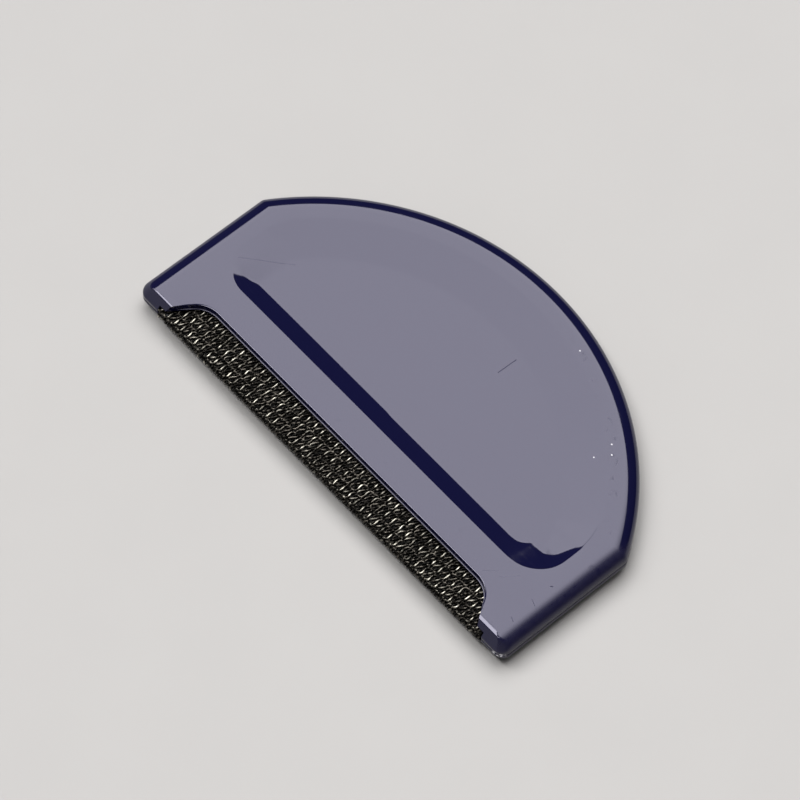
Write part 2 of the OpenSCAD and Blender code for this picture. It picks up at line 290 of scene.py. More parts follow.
HORN_SLOPE = [(0.0, 0.52), (0.012, 0.604), (0.048, 0.68), (0.24, 1.0), (0.48, ROOF)]
WORN_RIGHT = [(1.03, 2.317), (1.075, 2.385), (1.11, 2.415), (1.14, 2.426), (1.58, 2.573),
              (1.62, 2.586), (1.68, 2.6)]
WORN_LEFT = [(1.1, 2.433), (1.13, 2.475), (1.16, 2.496), (1.185, 2.505), (1.36, 2.5635),
             (1.39, 2.573), (1.5, 2.6)]
HORN_PROFILES = {
    hand: np.vstack([SEAM_BREAK, HORN_SLOPE, between(HORN_SLOPE[-1], worn[0], 3), worn])
    for hand, worn in ((1, WORN_RIGHT), (-1, WORN_LEFT))}

WINDOW_LEDGE = [(-0.2, ROOF), (-0.2, 1.53), (-0.18, 1.585), (-0.13, 1.605), (-0.03, 1.605),
                (0.0, 1.64)]
LIP_EDGE = [(0.0, 2.5), (0.02, 2.538), (0.04, 2.5467), (0.19, 2.5967), (0.215, 2.6)]
WINDOW_PROFILE = np.vstack([WINDOW_LEDGE, LIP_EDGE])
SPLIT = 7               # from this step up the outline follows the window, not the pocket
print(len(SIDE_PROFILE), "steps, of which", len(WINDOW_PROFILE), "follow the window")


# %% Outside of an outline
def d_outline(half, front, radius, corner, shoulder, counts):
    """Right half of a D: rounded front corner, side, rounded shoulder and back arc."""
    middle = np.array([half - corner, front + corner])
    reach = radius - shoulder
    x = half - shoulder
    y = ARC_Y + math.sqrt(reach ** 2 - x ** 2)
    lean = math.degrees(math.atan2(y - ARC_Y, x))
    turn = arc(middle, corner, -90, 0, counts[0])
    side = between(turn[-1], (half, y), counts[1])
    bend = arc((x, y), shoulder, 0, lean, counts[2])
    back = arc((0, ARC_Y), radius, lean, 90, counts[3])
    return turn, side, bend, back[1:]


# %% Inside of an outline: the window above, the wire's pocket below
LIP_STEPS, BOW_STEPS, FLARE_STEPS = 14, 14, 15


def lip_to(bow):
    """Straight run from the middle of the comb to where the bow starts."""
    return np.stack([np.linspace(0, bow[0, 0], LIP_STEPS), np.full(LIP_STEPS, bow[0, 1])],
                    1)[:-1]


def window_run(level, front, front_h):
    """Lip, bow and flare of the window, and how high each point lies."""
    grow, window_h = WINDOW_PROFILE[level - SPLIT]
    middle = (LIP_BEND_X, LIP_Y - LIP_BEND_R)
    bow = arc(middle, LIP_BEND_R + grow, 90, FLARE_DEG, BOW_STEPS)
    lip = lip_to(bow)
    plain = np.array(middle) + LIP_BEND_R * np.array([math.cos(FLARE), math.sin(FLARE)])
    run = (plain[1] - front) / math.cos(FLARE)
    joint = plain + run * np.array([math.sin(FLARE), -math.cos(FLARE)])
    part = np.linspace(0, 1, FLARE_STEPS + 1)[1:]
    flare = bow[-1] * (1 - part[:, None]) + joint * part[:, None]
    mix = 1 - smooth((1 - part) / 0.5)
    flare_h = window_h * (1 - mix) + front_h * mix
    return np.vstack([lip, bow, flare]), np.concatenate(
        [np.full(len(lip) + len(bow), window_h), flare_h])


def pocket_run(front, front_h):
    """The pocket's back, corner and side, in as many points as the window has."""
    bow = arc((POCKET_X - POCKET_R, POCKET_Y - POCKET_R), POCKET_R, 90, 0, BOW_STEPS)
    down = np.linspace(bow[-1, 1], front, FLARE_STEPS + 1)[1:]
    plan = np.vstack([lip_to(bow), bow, np.stack([np.full(FLARE_STEPS, POCKET_X), down], 1)])
    return plan, np.full(len(plan), front_h)


# %% One whole outline
OUTSIDE_STEPS = (12, 12, 6, 70)
HORN_FRONT_STEPS = 8


def half_loop(level, above_split, hand):
    """One half of an outline, from the middle of the lip to the crown; hand 1 is right."""
    drawn, height = SIDE_PROFILE[level]
    front_in, front_h = HORN_PROFILES[hand][level]
    front = HORN_Y + front_in
    turn, side, bend, back = d_outline(
        HALF_W - drawn, front, ARC_R - drawn,
        max(CORNER_R - CORNER_SHRINK * drawn, CORNER_LEAST),
        SHOULDER_R - SHOULDER_SHRINK * drawn, OUTSIDE_STEPS)
    inner, inner_h = (window_run(level, front, front_h) if above_split
                      else pocket_run(front, front_h))
    horn_front = np.stack([np.linspace(POCKET_X, turn[0, 0], HORN_FRONT_STEPS),
                           np.full(HORN_FRONT_STEPS, front)], 1)[:-1]
    mix = smooth(np.linspace(0, 1, len(turn)))
    heights = np.concatenate([
        inner_h, np.full(len(horn_front), front_h), front_h * (1 - mix) + height * mix,
        np.full(len(side) + len(bend) + len(back), height)])
    plan = np.vstack([inner, horn_front, turn, side, bend, back]) * np.array([hand, 1])
    return np.column_stack([plan, heights + MID_Z])


def whole_loop(right, left):
    """Joins two halves; their first and last points both lie on the middle."""
    return np.vstack([right, left[-2:0:-1]])


def outline(level, above_split):
    return whole_loop(half_loop(level, above_split, 1), half_loop(level, above_split, -1))


loops = [outline(k, False) for k in range(SPLIT + 1)]
loops += [outline(k, True) for k in range(SPLIT, len(SIDE_PROFILE))]
print(len(loops), "outlines of", len(loops[0]), "points")

# %% [markdown]
# ## Thumb recess
# The recess is where the thumb presses. Its floor is flat, a steep wall runs along the front
# and round the front corners, and a long cone rises to the face at the sides and back. A
# boolean cut would leave sharp creases where these surfaces meet. So rings drawn towards
# the middle carry a height worked out from the surfaces, blended over a fraction of a
# millimetre, as a polished mould does, and the gloss bends softly there.

# %% Sizes of the recess, in millimetres
RECESS_HALF, RECESS_R, RECESS_BEND, RECESS_SHOULDER = 35.2, 42.0, 6.0, 12.0
BEND_X, BEND_Y = 29.2, -6.45            # centre of a front corner's bend
BEND_LENGTH = 9.42                      # a quarter turn round it
FLOOR_DEPTH, CONE_RUN = 1.0, 6.4
EDGE_BREAK, CONE_BREAK = 0.2, 0.02      # rounding where the wall and the cone leave the face
CONE_BLEND, FLOOR_BLEND, WALL_BLEND = 0.05, 0.04, 0.03
# Length of the wall's slope, and the depth of its knee, where it turns gentle, against the
# distance along the edge from where a corner starts. The left corner ends in a ramp instead.
WALL_RIGHT = ([-2.4, -1.0, -0.4, 0.3, 1.0, 3.0, 5.3, 6.4, 7.4],
              [3.0, 3.3, 3.9, 4.7, 4.8, 4.45, 3.9, 3.15, 3.0])
WALL_LEFT = ([-1.0, 0.0, 2.0, 3.4, 4.2, 6.0], [3.1, 3.1, 3.2, 3.6, 4.2, 5.5])
KNEE_RIGHT = ([6.4, 7.4, 8.7, 10.3, 11.4, 12.0, 12.5],
              [1.0, 0.82, 0.62, 0.42, 0.29, 0.2, 0.0])
GENTLE = 0.166                          # slope beyond the knee
RAMP_X, RAMP_SLOPE = 29.0, ([-8.0, -2.0], [0.205, 0.16])    # the slope changes with y
RAMP_EASE, RAMP_EDGE = 0.1, 0.5         # where the ramp meets the floor, and the face
print("recess is", 2 * RECESS_HALF, "mm wide and", FLOOR_DEPTH, "mm deep")


# %% Tools for its surfaces
def soft_least(a, b, width):
    """The smaller of two depths, with the edge between them rounded off."""
    part = np.clip(0.5 + 0.5 * (b - a) / width, 0, 1)
    return b * (1 - part) + a * part - width * part * (1 - part)


def eased_start(run, width):
    """A slope of one that starts out level and bends down over the given width."""
    return np.where(run < width, np.maximum(run, 0) ** 2 / (2 * width), run - width / 2)


def distance_inside(points, loop):
    """Distance of each point from a closed plan outline."""
    best = np.full(len(points), 1e9)
    for start, step in zip(loop, np.roll(loop, -1, 0) - loop):
        rel = points - start
        part = np.clip((rel @ step) / max(step @ step, 1e-12), 0, 1)
        best = np.minimum(best, np.hypot(*(rel - part[:, None] * step).T))
    return best


def along_corner(points, table):
    """Looks a table up for each point, softened along the edge."""
    x, y = np.abs(points[:, 0]) - BEND_X, points[:, 1] - BEND_Y
    round_bend = RECESS_BEND * np.arctan2(x, np.maximum(-y, 1e-6))
    along = np.where(x < 0, x, np.where(y < 0, round_bend, BEND_LENGTH + y))
    spread = [along + step for step in (-0.5, -0.25, 0, 0.25, 0.5)]
    return np.mean([np.interp(a, *table) for a in spread], 0)


# %% Depth of the recess at any place
def run_out_right(points, inside, length):
    """Gentle slope beyond the wall's knee, which dies out along the right side."""
    knee = along_corner(points, KNEE_RIGHT)
    gentle = knee + GENTLE * (inside - knee * length)
    at_edge = knee + GENTLE * inside ** 2 / (2 * EDGE_BREAK)
    return np.where(inside < EDGE_BREAK, np.minimum(gentle, at_edge), gentle)


def run_out_left(points, inside):
    """Plain ramp that ends the wall at the left corner."""
    slope = np.interp(points[:, 1], *RAMP_SLOPE)
    ramp = FLOOR_DEPTH - slope * (np.abs(points[:, 0]) - RAMP_X)
    ramp = -soft_least(-ramp, -0.1 * inside, RAMP_EASE)
    at_edge = 0.05 * inside + 0.3 * inside ** 2 + np.maximum(ramp - RAMP_EASE, 0)
    return np.where(inside < RAMP_EDGE, np.minimum(ramp, at_edge), ramp)


def recess_depth(points, loop):
    """Depth below the face: the least of wall, run-out, cone and floor, blended."""
    inside = distance_inside(points, loop)
    on_right = points[:, 0] > 0
    length = np.where(on_right, along_corner(points, WALL_RIGHT),
                      along_corner(points, WALL_LEFT))
    wall = eased_start(inside, EDGE_BREAK) / length
    run_out = np.where(on_right, run_out_right(points, inside, length),
                       run_out_left(points, inside))
    cone = (RECESS_R - np.hypot(points[:, 0], points[:, 1] - ARC_Y)) / CONE_RUN
    cone = eased_start(cone, CONE_BREAK)
    depth = soft_least(cone, run_out, CONE_BLEND)
    depth = soft_least(depth, np.full(len(points), FLOOR_DEPTH), FLOOR_BLEND)
    return np.maximum(soft_least(wall, depth, WALL_BLEND), 0)


# %% Rings of the recess
RECESS_STEPS = (28, 4, 24, 90)
FRONT_STEPS = 40
RING_PARTS = np.concatenate([[0, 0.004, 0.008, 0.012, 0.017], np.arange(0.024, 0.44, 0.0075),
                             [0.5, 0.6, 0.75, 0.9]])
HUB = np.array([0.0, 1.0])
front_run = np.stack([np.linspace(0, BEND_X, FRONT_STEPS), np.full(FRONT_STEPS, RECESS_Y)],
                     1)[:-1]
recess_edge = np.vstack([front_run, *d_outline(
    RECESS_HALF, RECESS_Y, RECESS_R, RECESS_BEND, RECESS_SHOULDER, RECESS_STEPS)])
recess_edge = whole_loop(recess_edge, recess_edge * np.array([-1, 1]))
ring_points = np.concatenate(
    [HUB + (recess_edge - HUB) * (1 - part) for part in RING_PARTS] + [[HUB]])
ring_depth = recess_depth(ring_points, recess_edge)
ring_depth[:len(recess_edge)] = 0
print(len(RING_PARTS), "rings of", len(recess_edge), "points, deepest",
      round(float(ring_depth.max()), 3), "mm")


# %% Join outlines, face and recess into one closed moulding
def band(first, second, count):
    """Four-sided faces between two loops of points, given by their first numbers."""
    return [(first + i, first + (i + 1) % count, second + (i + 1) % count, second + i)
            for i in range(count)]


def moulded_half():
    """Points in millimetres, and faces, of the upper half."""
    points = np.vstack(loops + [np.column_stack([ring_points, 2 * MID_Z - ring_depth])])
    around, rim_count = len(loops[0]), len(recess_edge)
    faces = []
    for k in range(len(loops) - 1):
        faces += band(k * around, (k + 1) * around, around)
    first = len(loops) * around
    for k in range(len(RING_PARTS) - 1):
        faces += band(first + k * rim_count, first + (k + 1) * rim_count, rim_count)
    last, hub = first + (len(RING_PARTS) - 1) * rim_count, len(points) - 1
    faces += [(last + i, last + (i + 1) % rim_count, hub) for i in range(rim_count)]
    seam = [Vector(p) for p in points[:around]]
    faces += [tuple(reversed(t)) for t in tessellate_polygon([seam])]
    # The flat face lies between the last outline and the edge of the recess
    ring_start = first - around
    face_edge = [Vector(p) for p in points[ring_start:first]]
    hole = [Vector(p) for p in points[first:first + rim_count]]
    faces += [tuple(ring_start + i for i in t) for t in tessellate_polygon([face_edge, hole])]
    return points, faces


# %% Make the two halves
SHARP = math.radians(38)                # edges that bend more than this stay crisp
SAME_PLACE_M, NO_LENGTH_M = 2e-7, 1e-7


def shell_piece(name, node, turned):
    """Makes one half; the lower one is the same moulding turned over about the Y axis."""
    points, faces = moulded_half()
    if turned:
        points = points * np.array([-1, 1, -1]) + np.array([0, 0, 2 * MID_Z])
    mesh = bpy.data.meshes.new(name)
    mesh.from_pydata((points * MM).tolist(), [], faces)
    work = bmesh.new()
    work.from_mesh(mesh)
    bmesh.ops.remove_doubles(work, verts=work.verts, dist=SAME_PLACE_M)
    bmesh.ops.dissolve_degenerate(work, edges=work.edges, dist=NO_LENGTH_M)
    bmesh.ops.recalc_face_normals(work, faces=work.faces)
    open_edges = sum(not e.is_manifold for e in work.edges)
    for edge in work.edges:
        edge.smooth = edge.is_manifold and edge.calc_face_angle(0) < SHARP
    for face in work.faces:
        face.smooth = True
    work.to_mesh(mesh)
    print(name, len(work.faces), "faces,", open_edges, "open edges, volume",
          round(work.calc_volume() * 1e9, 1), "mm3")
    work.free()
    piece = bpy.data.objects.new(name, mesh)
    scene.collection.objects.link(piece)
    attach(piece, "root")
    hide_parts(node)
    return piece


top_half = shell_piece("top_half", "top_shell", False)
bottom_half = shell_piece("bottom_half", "bottom_shell", True)

# %% [markdown]
# ## Used navy plastic
# The plastic itself is almost black; what is seen on the face is the lamp mirrored in it. So
# wear shows as places that mirror less sharply. A painted wear map would do, but procedural
# marks stay sharp at any size and need no picture. Where each mark lies is measured in
# millimetres on the face: hairlines, dust specks, a rubbed flank on the right, and a chipped
# corner. Between them run fine scratches from noise that is stretched in one direction.

# %% Places on the plastic, in millimetres
UPPER_FACE = (3.6, 4.0)
navy_gloss, navy, navy_shader = new_material("navy_gloss")
spot_mm = add(navy, "ShaderNodeVectorMath", object_place(navy), operation="SCALE")
spot_mm.inputs["Scale"].default_value = 1 / MM
spot_mm = spot_mm.outputs[0]
x_mm, y_mm, z_mm = add(navy, "ShaderNodeSeparateXYZ", spot_mm).outputs
flat_spot = add(navy, "ShaderNodeCombineXYZ", x_mm, y_mm, 0.0).outputs[0]
upper_face = ease(navy, z_mm, *UPPER_FACE)


def vector(operation, *values):
    return add(navy, "ShaderNodeVectorMath", *values, operation=operation)


def times(*masks):
    """Product of masks or numbers."""
    found = masks[0]
    for mask in masks[1:]:
        found = calc(navy, "MULTIPLY", found, mask)
    return found


def strongest(masks):
    """The largest of several masks at each place."""
    found = masks[0]
    for mask in masks[1:]:
        found = calc(navy, "MAXIMUM", found, mask)
    return found


# %% Tools for marks
def grain(scale, detail=3.0, stretch=(1, 1, 1), turn=0.0):
    """Noise on the plastic; scale counts features per millimetre."""
    turned = add(navy, "ShaderNodeMapping", spot_mm, None, (0, 0, math.radians(turn)), stretch)
    return noise(navy, turned.outputs[0], scale, detail)


def stroke(start, end, width):
    """1 on the line from start to end, seen from above, fading out over its width."""
    run = Vector((end[0] - start[0], end[1] - start[1], 0))
    rel = vector("SUBTRACT", flat_spot, (*start, 0)).outputs[0]
    along_run = vector("DOT_PRODUCT", rel, tuple(run)).outputs["Value"]
    part = add(navy, "ShaderNodeClamp", calc(navy, "DIVIDE", along_run, run.length_squared))
    nearest = vector("SCALE", tuple(run))
    plug(navy, nearest.inputs["Scale"], part.outputs[0])
    gap = vector("SUBTRACT", rel, nearest.outputs[0]).outputs[0]
    return ease(navy, vector("LENGTH", gap).outputs["Value"], 0.25 * width, width, 1.0, 0.0)


def distance_from(place, centre):
    return vector("DISTANCE", place, centre).outputs["Value"]


# %% Hairlines and dust
# Start, end, width in mm and strength of each hairline
HAIRLINES = [((-33.9, -8.9), (-28.0, -3.0), 0.10, 0.6), ((5.2, 7.4), (5.3, 10.8), 0.13, 1.0),
             ((36.5, -14.3), (37.6, -14.7), 0.10, 0.8), ((36.7, -18.4), (37.4, -18.7), 0.12, 0.8),
             ((28.5, -16.5), (30.0, -14.9), 0.08, 0.6), ((30.9, -15.3), (32.6, -13.1), 0.08, 0.5),
             ((36.7, -10.9), (36.9, -10.7), 0.18, 1.0), ((-3.7, -16.1), (-3.2, -15.8), 0.35, 0.4),
             ((6.2, -15.5), (6.5, -15.4), 0.40, 0.35), ((21.4, -14.6), (21.8, -14.5), 0.45, 0.35)]
# Place and size of each speck of dust
DUST = [((10.6, 18.5), 0.15), ((25.2, 11.4), 0.17), ((26.5, 10.2), 0.17), ((25.0, 8.1), 0.15)]
SPECK_LENGTH = 0.05
scratches = times(strongest([times(stroke(a, b, width), depth)
                             for a, b, width, depth in HAIRLINES]), upper_face)
dust = times(strongest([stroke(spot, (spot[0] + SPECK_LENGTH, spot[1]), size)
                        for spot, size in DUST]), upper_face)
print(len(HAIRLINES), "hairlines and", len(DUST), "specks of dust")

# %% Fine scratches, film, smudges, rubbed flank and chips
SCRATCH_TURNS = (20, 68, -35)
SCRATCH_STRETCH = (0.12, 9.0, 1)
# Where each kind starts and ends, in mm: smudges by their distance from the arc's centre
SMUDGE_IN, SMUDGE_OUT, SMUDGE_ALONG = (41.2, 42.8), (43.3, 43.9), (-6.0, 16.0)
FLANK = (37.3, 39.3)
CHIPPED_CORNER, CHIP_REACH, CHIP_HEIGHT = (38.9, -22.5, 2.6), (0.5, 1.3), (0.25, 0.55)
fine = strongest([ease(navy, grain(1.0, 2.0, SCRATCH_STRETCH, turn), 0.66, 0.74)
                  for turn in SCRATCH_TURNS])
film = ease(navy, grain(0.22, 4.0), 0.45, 0.7)
radius = distance_from(flat_spot, (0, ARC_Y, 0))
rim_smudge = times(ease(navy, grain(0.9, 4.0, (1, 1, 1), 30), 0.48, 0.72),
                   times(ease(navy, radius, *SMUDGE_IN), ease(navy, x_mm, *SMUDGE_ALONG)),
                   ease(navy, radius, *SMUDGE_OUT, 1.0, 0.0))
rubbed_flank = times(ease(navy, x_mm, *FLANK),
                     ease(navy, grain(1.4), 0.2, 0.6, 0.75, 1.0))
from_seam = calc(navy, "ABSOLUTE", calc(navy, "SUBTRACT", z_mm, MID_Z))
chips = times(ease(navy, distance_from(spot_mm, CHIPPED_CORNER), *CHIP_REACH, 1.0, 0.0),
              ease(navy, from_seam, *CHIP_HEIGHT, 1.0, 0.0),
              ease(navy, grain(2.6, 4.0), 0.46, 0.53))
print("wear takes", len(navy.nodes), "nodes")

# %% Roughness of the plastic
POLISHED, FILM_DULLS, SCRATCHES_DULL = 0.055, 0.05, 0.10
DULLED = ((rim_smudge, 0.40), (rubbed_flank, 0.38), (scratches, 0.62), (dust, 0.8),
          (chips, 0.7))
rough = calc(navy, "ADD", POLISHED, times(film, FILM_DULLS))
rough = calc(navy, "ADD", rough, times(fine, SCRATCHES_DULL))
for mask, most in DULLED:
    rough = calc(navy, "MAXIMUM", rough, times(mask, most))
plug(navy, navy_shader.inputs["Roughness"], rough)
print("roughness goes from", POLISHED, "to", max(most for mask, most in DULLED))

# %% Colour of the plastic
NAVY, RUBBED_NAVY = (0.0045, 0.0047, 0.0245, 1), (0.0075, 0.0065, 0.0240, 1)
PALE = (0.82, 0.82, 0.87, 1)
WORN_TINT, DUST_COVER = 0.6, 0.75
tint = colour_mix(navy, times(rubbed_flank, WORN_TINT), NAVY, RUBBED_NAVY)
pale_spots = calc(navy, "MAXIMUM", times(dust, DUST_COVER), chips)
plug(navy, navy_shader.inputs["Base Color"], colour_mix(navy, pale_spots, tint, PALE))
navy_shader.inputs["Specular Tint"].default_value = (0.85, 0.835, 1.0, 1)
print("navy is", NAVY[:3])

# %% Relief of the plastic
DUST_RISE, CHIP_RISE, SCRATCH_DEPTH = 1.5, 14.0, 0.05
relief = calc(navy, "SUBTRACT",
              calc(navy, "ADD", times(dust, DUST_RISE), times(chips, CHIP_RISE)),
              calc(navy, "ADD", times(fine, SCRATCH_DEPTH), scratches))
bump = add(navy, "ShaderNodeBump")
bump.inputs["Strength"].default_value = 0.5
bump.inputs["Distance"].default_value = 0.00001
plug(navy, bump.inputs["Height"], relief)
plug(navy, navy_shader.inputs["Normal"], bump.outputs[0])
for piece in (top_half, bottom_half):
    piece.data.materials.append(navy_gloss)
print("plastic has", len(navy.nodes), "nodes")

# %% [markdown]
# ## Knitted wire
# The strip is knitted on a needle machine: each course is one wire that runs the whole
# width in loops, and each loop is pulled through the loop before it. Modelling one loop and
# copying it leaves ends that never meet, so Geometry Nodes draws every course as one long
# wire. A sine rule moves it sideways, up and down and in and out, and then the fold's path
# carries it round the core bar. Two layers lie on each other, as in the flattened tube.

# %% Path of the fold
FOLD_Y, FOLD_R, NET_TOP = -22.4, 1.1, 1.35
TAIL = 2.6                              # how far the strip goes on behind the lip
tail_y = LIP_Y + TAIL
reach_y = LIP_Y - FOLD_Y
touch = math.degrees(math.atan2(NET_TOP, reach_y)
                     + math.acos(FOLD_R / math.hypot(reach_y, NET_TOP)))
fold = arc((FOLD_Y, 0), FOLD_R, touch, 360 - touch, 33)
upper = np.vstack([[(tail_y, NET_TOP)], between((tail_y, NET_TOP), (LIP_Y, NET_TOP), 5),
                   [(LIP_Y, NET_TOP)], between((LIP_Y, NET_TOP), fold[0], 12)])
path_yz = np.vstack([upper, fold, upper[::-1] * np.array([1, -1])])
path_mm = np.column_stack([np.zeros(len(path_yz)), path_yz[:, 0], path_yz[:, 1] + MID_Z])
path_length = np.linalg.norm(np.diff(path_mm, axis=0), axis=1).sum()
print("path of the fold is", round(path_length, 2), "mm long")

# %% Inputs of the knitting tree, in metres
KNIT_COUNTS = [("Stitches", 48), ("Courses", 9), ("Steps", 16), ("Sides", 6)]
KNIT_SIZES = [("Stitch width", 0.001473), ("Course height", 0.0019), ("Start", 0.0007),
              ("Shift", 0.0), ("Loop height", 0.00098), ("Loop swing", 0.00033),
              ("Lean", 0.0003), ("Loop depth", 0.00009), ("Sunk", 0.0),
              ("Wire radius", 0.00018), ("Unevenness", 0.00036), ("Seed", 0.0),
              ("Shine", 1.0)]
knitting = bpy.data.node_groups.new("knitting", "GeometryNodeTree")
sockets = {}


def knit_input(label, kind, value=None):
    made = knitting.interface.new_socket(name=label, in_out="INPUT", socket_type=kind)
    if value is not None:
        made.default_value = value
    sockets[label] = made.identifier


knit_input("Fold", "NodeSocketGeometry")
for label, value in KNIT_COUNTS:
    knit_input(label, "NodeSocketInt", value)
for label, value in KNIT_SIZES:
    knit_input(label, "NodeSocketFloat", value)
knit_input("Wire", "NodeSocketMaterial")
knitting.interface.new_socket(name="Knit", in_out="OUTPUT", socket_type="NodeSocketGeometry")
given = knitting.nodes.new("NodeGroupInput").outputs
print("knitting takes", len(sockets), "inputs")


# %% Straight wires, one for each course
def knit(operation, *values):
    return calc(knitting, operation, *values)


def fit(node, label, value):
    """Fills a named input of a node in the knitting tree."""
    plug(knitting, node.inputs[label], value)


fold_curve = add(knitting, "GeometryNodeMeshToCurve", given["Fold"]).outputs[0]
straight = add(knitting, "GeometryNodeCurvePrimitiveLine").outputs[0]
course = add(knitting, "GeometryNodeResampleCurve", straight, mode="COUNT")
fit(course, "Count", knit("ADD", knit("MULTIPLY", given["Stitches"], given["Steps"]), 1.0))
rows = add(knitting, "GeometryNodeDuplicateElements", domain="SPLINE")
fit(rows, "Geometry", course.outputs[0])
fit(rows, "Amount", given["Courses"])
row_number = rows.outputs["Duplicate Index"]
print("straight wires take", len(knitting.nodes), "nodes")

# %% The loops: across the strip, down the fold's path and up from it
along = add(knitting, "GeometryNodeSplineParameter").outputs["Factor"]
stitch = knit("MULTIPLY", along, given["Stitches"])
phase = knit("MULTIPLY", stitch, 2 * math.pi)
double = knit("MULTIPLY", phase, 2)
swing = knit("SUBTRACT", knit("MULTIPLY", knit("SINE", double), given["Loop swing"]),
             knit("MULTIPLY", knit("COSINE", phase), given["Lean"]))
centred = knit("SUBTRACT", stitch, knit("MULTIPLY", given["Stitches"], 0.5))
across = knit("ADD", knit("MULTIPLY", centred, given["Stitch width"]), swing)
across = knit("ADD", across, given["Shift"])
row = knit("ADD", row_number, 0.5)
down = knit("ADD", knit("MULTIPLY", row, given["Course height"]), given["Start"])
down = knit("ADD", down, knit("MULTIPLY", knit("COSINE", phase), given["Loop height"]))
sunk = knit("ADD", given["Loop depth"], knit("ADD", given["Wire radius"], given["Sunk"]))
dip = knit("MULTIPLY", given["Loop depth"], -1.0)
rise = knit("SUBTRACT", knit("MULTIPLY", knit("COSINE", double), dip), sunk)

# %% Unevenness, as in any knit that has been rubbed and bent
WOBBLE_PER_METRE = 900.0
spot = add(knitting, "ShaderNodeCombineXYZ", across, down, 0.0).outputs[0]
wobble = add(knitting, "ShaderNodeTexNoise", noise_dimensions="4D")
fit(wobble, "Vector", spot)
fit(wobble, "W", given["Seed"])
fit(wobble, "Scale", WOBBLE_PER_METRE)
fit(wobble, "Detail", 1.0)
drift = add(knitting, "ShaderNodeVectorMath", wobble.outputs["Color"], (0.5, 0.5, 0.5),
            operation="SUBTRACT")
drift = add(knitting, "ShaderNodeSeparateXYZ", drift.outputs[0]).outputs
across = knit("ADD", across, knit("MULTIPLY", drift[0], given["Unevenness"]))
down = knit("ADD", down, knit("MULTIPLY", drift[1], given["Unevenness"]))
less_uneven = knit("MULTIPLY", given["Unevenness"], 0.5)
rise = knit("MINIMUM", knit("ADD", rise, knit("MULTIPLY", drift[2], less_uneven)),
            knit("MULTIPLY", given["Wire radius"], -1.0))

# %% Carry every point round the fold
length = add(knitting, "GeometryNodeCurveLength", fold_curve).outputs[0]
down = knit("MINIMUM", knit("MAXIMUM", down, 0.0), length)
place = add(knitting, "GeometryNodeSampleCurve", mode="LENGTH")
fit(place, "Curves", fold_curve)
fit(place, "Length", down)
outward = add(knitting, "ShaderNodeVectorMath", place.outputs["Tangent"], (1.0, 0.0, 0.0),
              operation="CROSS_PRODUCT")
raised = add(knitting, "ShaderNodeVectorMath", outward.outputs[0], operation="SCALE")
fit(raised, "Scale", rise)
sideways = add(knitting, "ShaderNodeCombineXYZ", across, 0.0, 0.0).outputs[0]
where = add(knitting, "ShaderNodeVectorMath", place.outputs["Position"], raised.outputs[0],
            operation="ADD")
where = add(knitting, "ShaderNodeVectorMath", where.outputs[0], sideways, operation="ADD")
moved = add(knitting, "GeometryNodeSetPosition")
fit(moved, "Geometry", rows.outputs["Geometry"])
fit(moved, "Position", where.outputs[0])

# %% Painted glints, partly rubbed wear: one leg of each loop, and the heads at the fold
LEG, OTHER_LEG, HEAD = (0.93, 0.985), (-0.94, -0.99), (0.9, 0.99)
AT_FOLD = (0.0006, 0.0016)
loop_id = add(knitting, "ShaderNodeCombineXYZ", knit("FLOOR", stitch), row_number,
              given["Seed"]).outputs[0]
chance = add(knitting, "ShaderNodeTexWhiteNoise", noise_dimensions="3D")
fit(chance, "Vector", loop_id)
chance = chance.outputs["Value"]
# A bright tone on one leg of each loop, on the other leg of some loops, and on the heads at the
# fold: painted glints, partly rubbed wear.
leg = ease(knitting, knit("SINE", knit("ADD", phase, 0.25)), *LEG)
other_leg = knit("MULTIPLY", ease(knitting, knit("SINE", phase), *OTHER_LEG),
                 ease(knitting, chance, 0.55, 1.0, 0.0, 0.5))
from_fold = knit("ABSOLUTE", knit("SUBTRACT", down, knit("MULTIPLY", length, 0.5)))
heads = knit("MULTIPLY", ease(knitting, from_fold, *AT_FOLD, 1.0, 0.0),
             ease(knitting, knit("COSINE", phase), *HEAD))
rub_and_glint = knit("MAXIMUM", knit("MAXIMUM", leg, other_leg), heads)
rub_and_glint = knit("MULTIPLY", knit("MULTIPLY", rub_and_glint, given["Shine"]),
              ease(knitting, chance, 0.0, 0.9, 0.15, 1.0))
# Stores that mask for the wire's colour: painted glints, partly rubbed wear.
marked = add(knitting, "GeometryNodeStoreNamedAttribute", data_type="FLOAT", domain="POINT")
fit(marked, "Geometry", moved.outputs[0])
fit(marked, "Name", "rub_and_glint")
fit(marked, "Value", rub_and_glint)

# %% Give the wires their thickness and end the tree
round_wire = add(knitting, "GeometryNodeCurvePrimitiveCircle", given["Sides"])
fit(round_wire, "Radius", given["Wire radius"])
solid = add(knitting, "GeometryNodeCurveToMesh", marked.outputs[0], round_wire.outputs[0])
fit(solid, "Fill Caps", True)
soft = add(knitting, "GeometryNodeSetShadeSmooth", solid.outputs[0])
real = add(knitting, "GeometryNodeRealizeInstances", soft.outputs[0])
dressed = add(knitting, "GeometryNodeSetMaterial", real.outputs[0])
fit(dressed, "Material", given["Wire"])
result = knitting.nodes.new("NodeGroupOutput")
knitting.links.new(dressed.outputs[0], result.inputs[0])
print("knitting tree has", len(knitting.nodes), "nodes")
